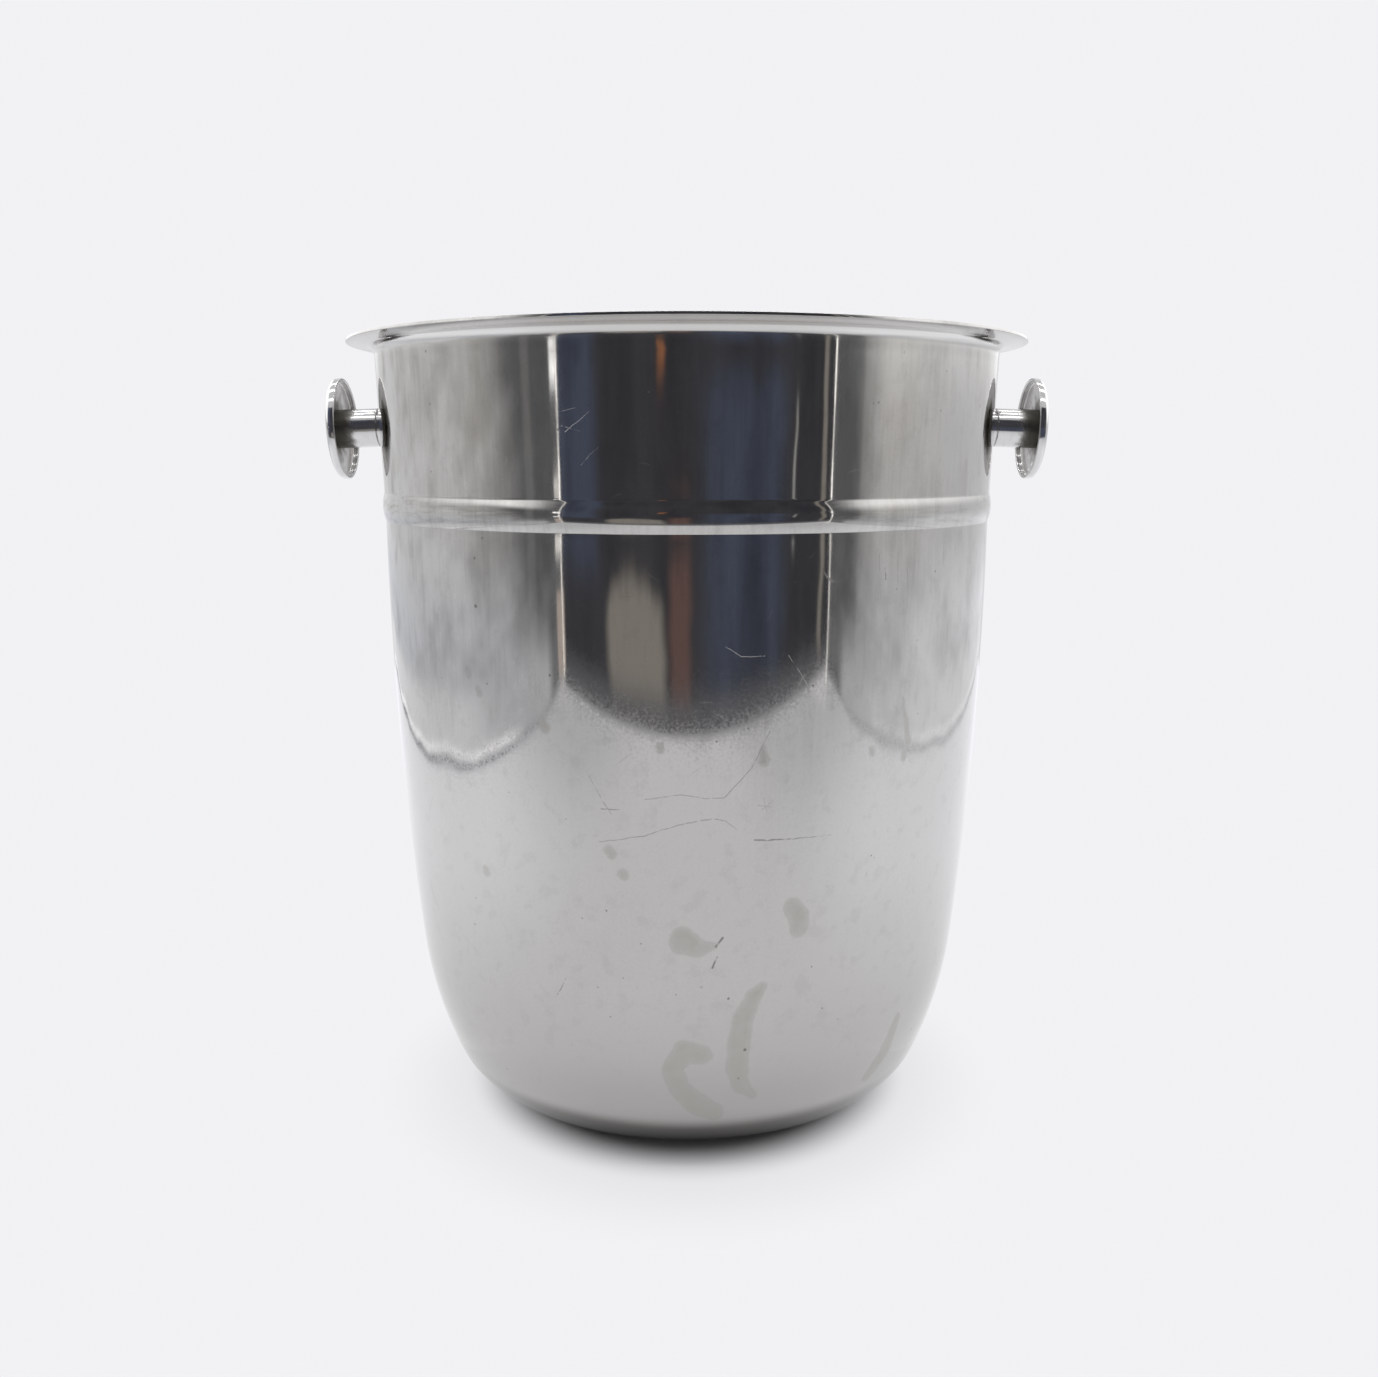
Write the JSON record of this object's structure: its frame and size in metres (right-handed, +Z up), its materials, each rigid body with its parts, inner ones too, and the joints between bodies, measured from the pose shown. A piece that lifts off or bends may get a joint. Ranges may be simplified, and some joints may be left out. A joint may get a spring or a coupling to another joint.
{
  "type": "champagne bucket",
  "caption": "Round polished steel champagne bucket with a flared brim, a rolled bead under it and round knob handles screwed through the wall on opposite sides.",
  "frame": {"origin": "centre of the base, on the table that the bucket stands on", "axes": "+Z up along the bucket's axis, +X through the right knob, +Y away from the viewer"},
  "size_m": [0.2148, 0.2, 0.225],
  "materials": {
    "polished_steel": "polished stainless sheet, worn, with fine scratches and dried water marks",
    "turned_steel": "turned and polished stainless bar",
    "seal_rubber": "matt black sealing rubber"
  },
  "bodies": {
    "root": {"bucket_shell": "polished_steel", "left_knob_dish": "polished_steel", "right_knob_dish": "polished_steel", "left_knob_stem": "turned_steel", "right_knob_stem": "turned_steel", "left_saddle_washer": "turned_steel", "right_saddle_washer": "turned_steel", "left_seal_washer": "seal_rubber", "right_seal_washer": "seal_rubber", "left_flat_washer": "turned_steel", "right_flat_washer": "turned_steel", "left_fixing_screw": "turned_steel", "right_fixing_screw": "turned_steel"}
  },
  "joints": []
}
